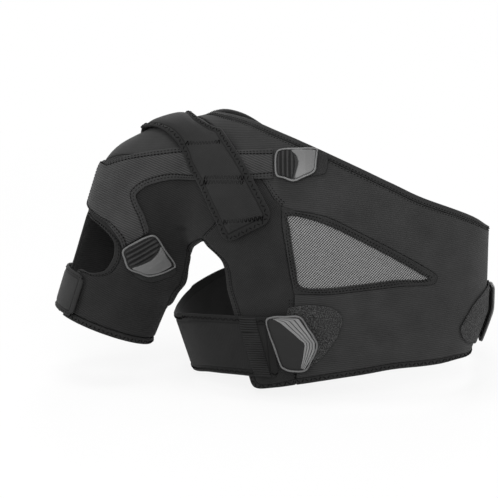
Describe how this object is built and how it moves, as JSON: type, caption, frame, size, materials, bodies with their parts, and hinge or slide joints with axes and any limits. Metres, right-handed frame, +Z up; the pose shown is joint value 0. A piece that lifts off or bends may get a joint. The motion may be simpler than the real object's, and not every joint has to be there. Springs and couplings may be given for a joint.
{
  "type": "shoulder compression wrap",
  "caption": "Shoulder wrap of knit panels with a mesh inset, a sleeve, a ribbed band, peel-open straps with pull tabs, and an inner cold pack that chills and compresses the joint.",
  "frame": {"origin": "on the wearer's torso axis, level with the lowest corner of the chest hem", "axes": "+Z up along the torso, -Y out of the chest, +X to the wearer's left"},
  "size_m": [0.4907, 0.2613, 0.2926],
  "materials": {
    "knit_cloth": "fine knit face, dark grey to black",
    "smooth_cloth": "smooth dark jersey",
    "ribbed_band": "ribbed elastic weave",
    "strap_cloth": "plain woven elastic",
    "binding": "folded binding, stitched",
    "ribbed_tape": "ribbed grosgrain",
    "mesh": "grey spacer mesh",
    "loop": "brushed loop pile",
    "hook": "moulded hooks",
    "grey_rubber": "satin moulded",
    "black_rubber": "satin moulded",
    "gel": "soft gel in film",
    "lining": "soft jersey"
  },
  "bodies": {
    "wrap": {"chest_panel": "knit_cloth", "chest_edge_binding": "binding", "chest_side_panel": "knit_cloth", "chest_side_binding": "binding", "chest_mesh": "mesh", "chest_mesh_binding": "binding", "sleeve_front": "smooth_cloth", "sleeve_front_binding": "binding", "window_binding": "binding", "cuff_front_binding": "binding", "shoulder_cap": "knit_cloth", "shoulder_band_front": "ribbed_band", "back_panel": "knit_cloth", "back_edge_binding": "binding", "back_side_panel": "knit_cloth", "back_side_binding": "binding", "back_mesh": "mesh", "back_mesh_binding": "binding", "sleeve_back": "smooth_cloth", "sleeve_back_binding": "binding", "cuff_back_binding": "binding", "shoulder_band_back": "ribbed_band", "strap_anchor": "strap_cloth", "near_belt": "strap_cloth", "near_loop_patch": "loop", "far_belt": "strap_cloth", "far_loop_patch": "loop", "tab_anchor": "strap_cloth", "gel_pack": "gel", "pocket_lining": "lining"},
    "shoulder_strap": {"shoulder_strap": "strap_cloth", "strap_hook_pad": "hook"},
    "chest_pull": {"chest_hook_pad": "hook", "chest_pull_plate": "grey_rubber", "chest_pull_rim": "grey_rubber", "chest_pull_grip": "black_rubber"},
    "arm_pull": {"arm_hook_pad": "hook", "arm_pull_plate": "grey_rubber", "arm_pull_rim": "grey_rubber", "arm_pull_grip": "black_rubber"},
    "near_pull": {"near_belt_tip": "strap_cloth", "near_tape": "ribbed_tape", "near_hook_pad": "hook", "near_pull_plate": "black_rubber", "near_pull_rim": "grey_rubber", "near_pull_steps": "grey_rubber"},
    "far_pull": {"far_belt_tip": "strap_cloth", "far_tape": "ribbed_tape", "far_hook_pad": "hook", "far_pull_plate": "black_rubber", "far_pull_rim": "grey_rubber", "far_pull_steps": "grey_rubber"},
    "cuff_tab": {"cuff_tab": "strap_cloth", "cuff_hook_pad": "hook"}
  },
  "joints": [
    {"name": "shoulder_strap_peel", "type": "hinge", "parent": "wrap", "child": "shoulder_strap", "pos_m": [-0.18192, 0.00621, 0.27377], "axis": [-0.959, 0, -0.2834], "range_deg": [0, 110]},
    {"name": "chest_pull_peel", "type": "hinge", "parent": "wrap", "child": "chest_pull", "pos_m": [-0.0647, -0.10763, 0.24267], "axis": [-0.1169, -0.4526, -0.884], "range_deg": [0, 90]},
    {"name": "arm_pull_peel", "type": "hinge", "parent": "wrap", "child": "arm_pull", "pos_m": [-0.21377, -0.06895, 0.14986], "axis": [-0.8482, -0.0324, -0.5287], "range_deg": [0, 90]},
    {"name": "near_pull_peel", "type": "hinge", "parent": "wrap", "child": "near_pull", "pos_m": [-0.09995, -0.11186, 0.04473], "axis": [0.0797, 0.0941, -0.9924], "range_deg": [0, 100]},
    {"name": "far_pull_peel", "type": "hinge", "parent": "wrap", "child": "far_pull", "pos_m": [0.16744, 0.04993, 0.05365], "axis": [0.1756, 0.0504, 0.9832], "range_deg": [0, 100]},
    {"name": "cuff_tab_peel", "type": "hinge", "parent": "wrap", "child": "cuff_tab", "pos_m": [-0.29979, -0.0186, 0.08834], "axis": [-0.2959, -0.1122, -0.9486], "range_deg": [0, 100]}
  ]
}
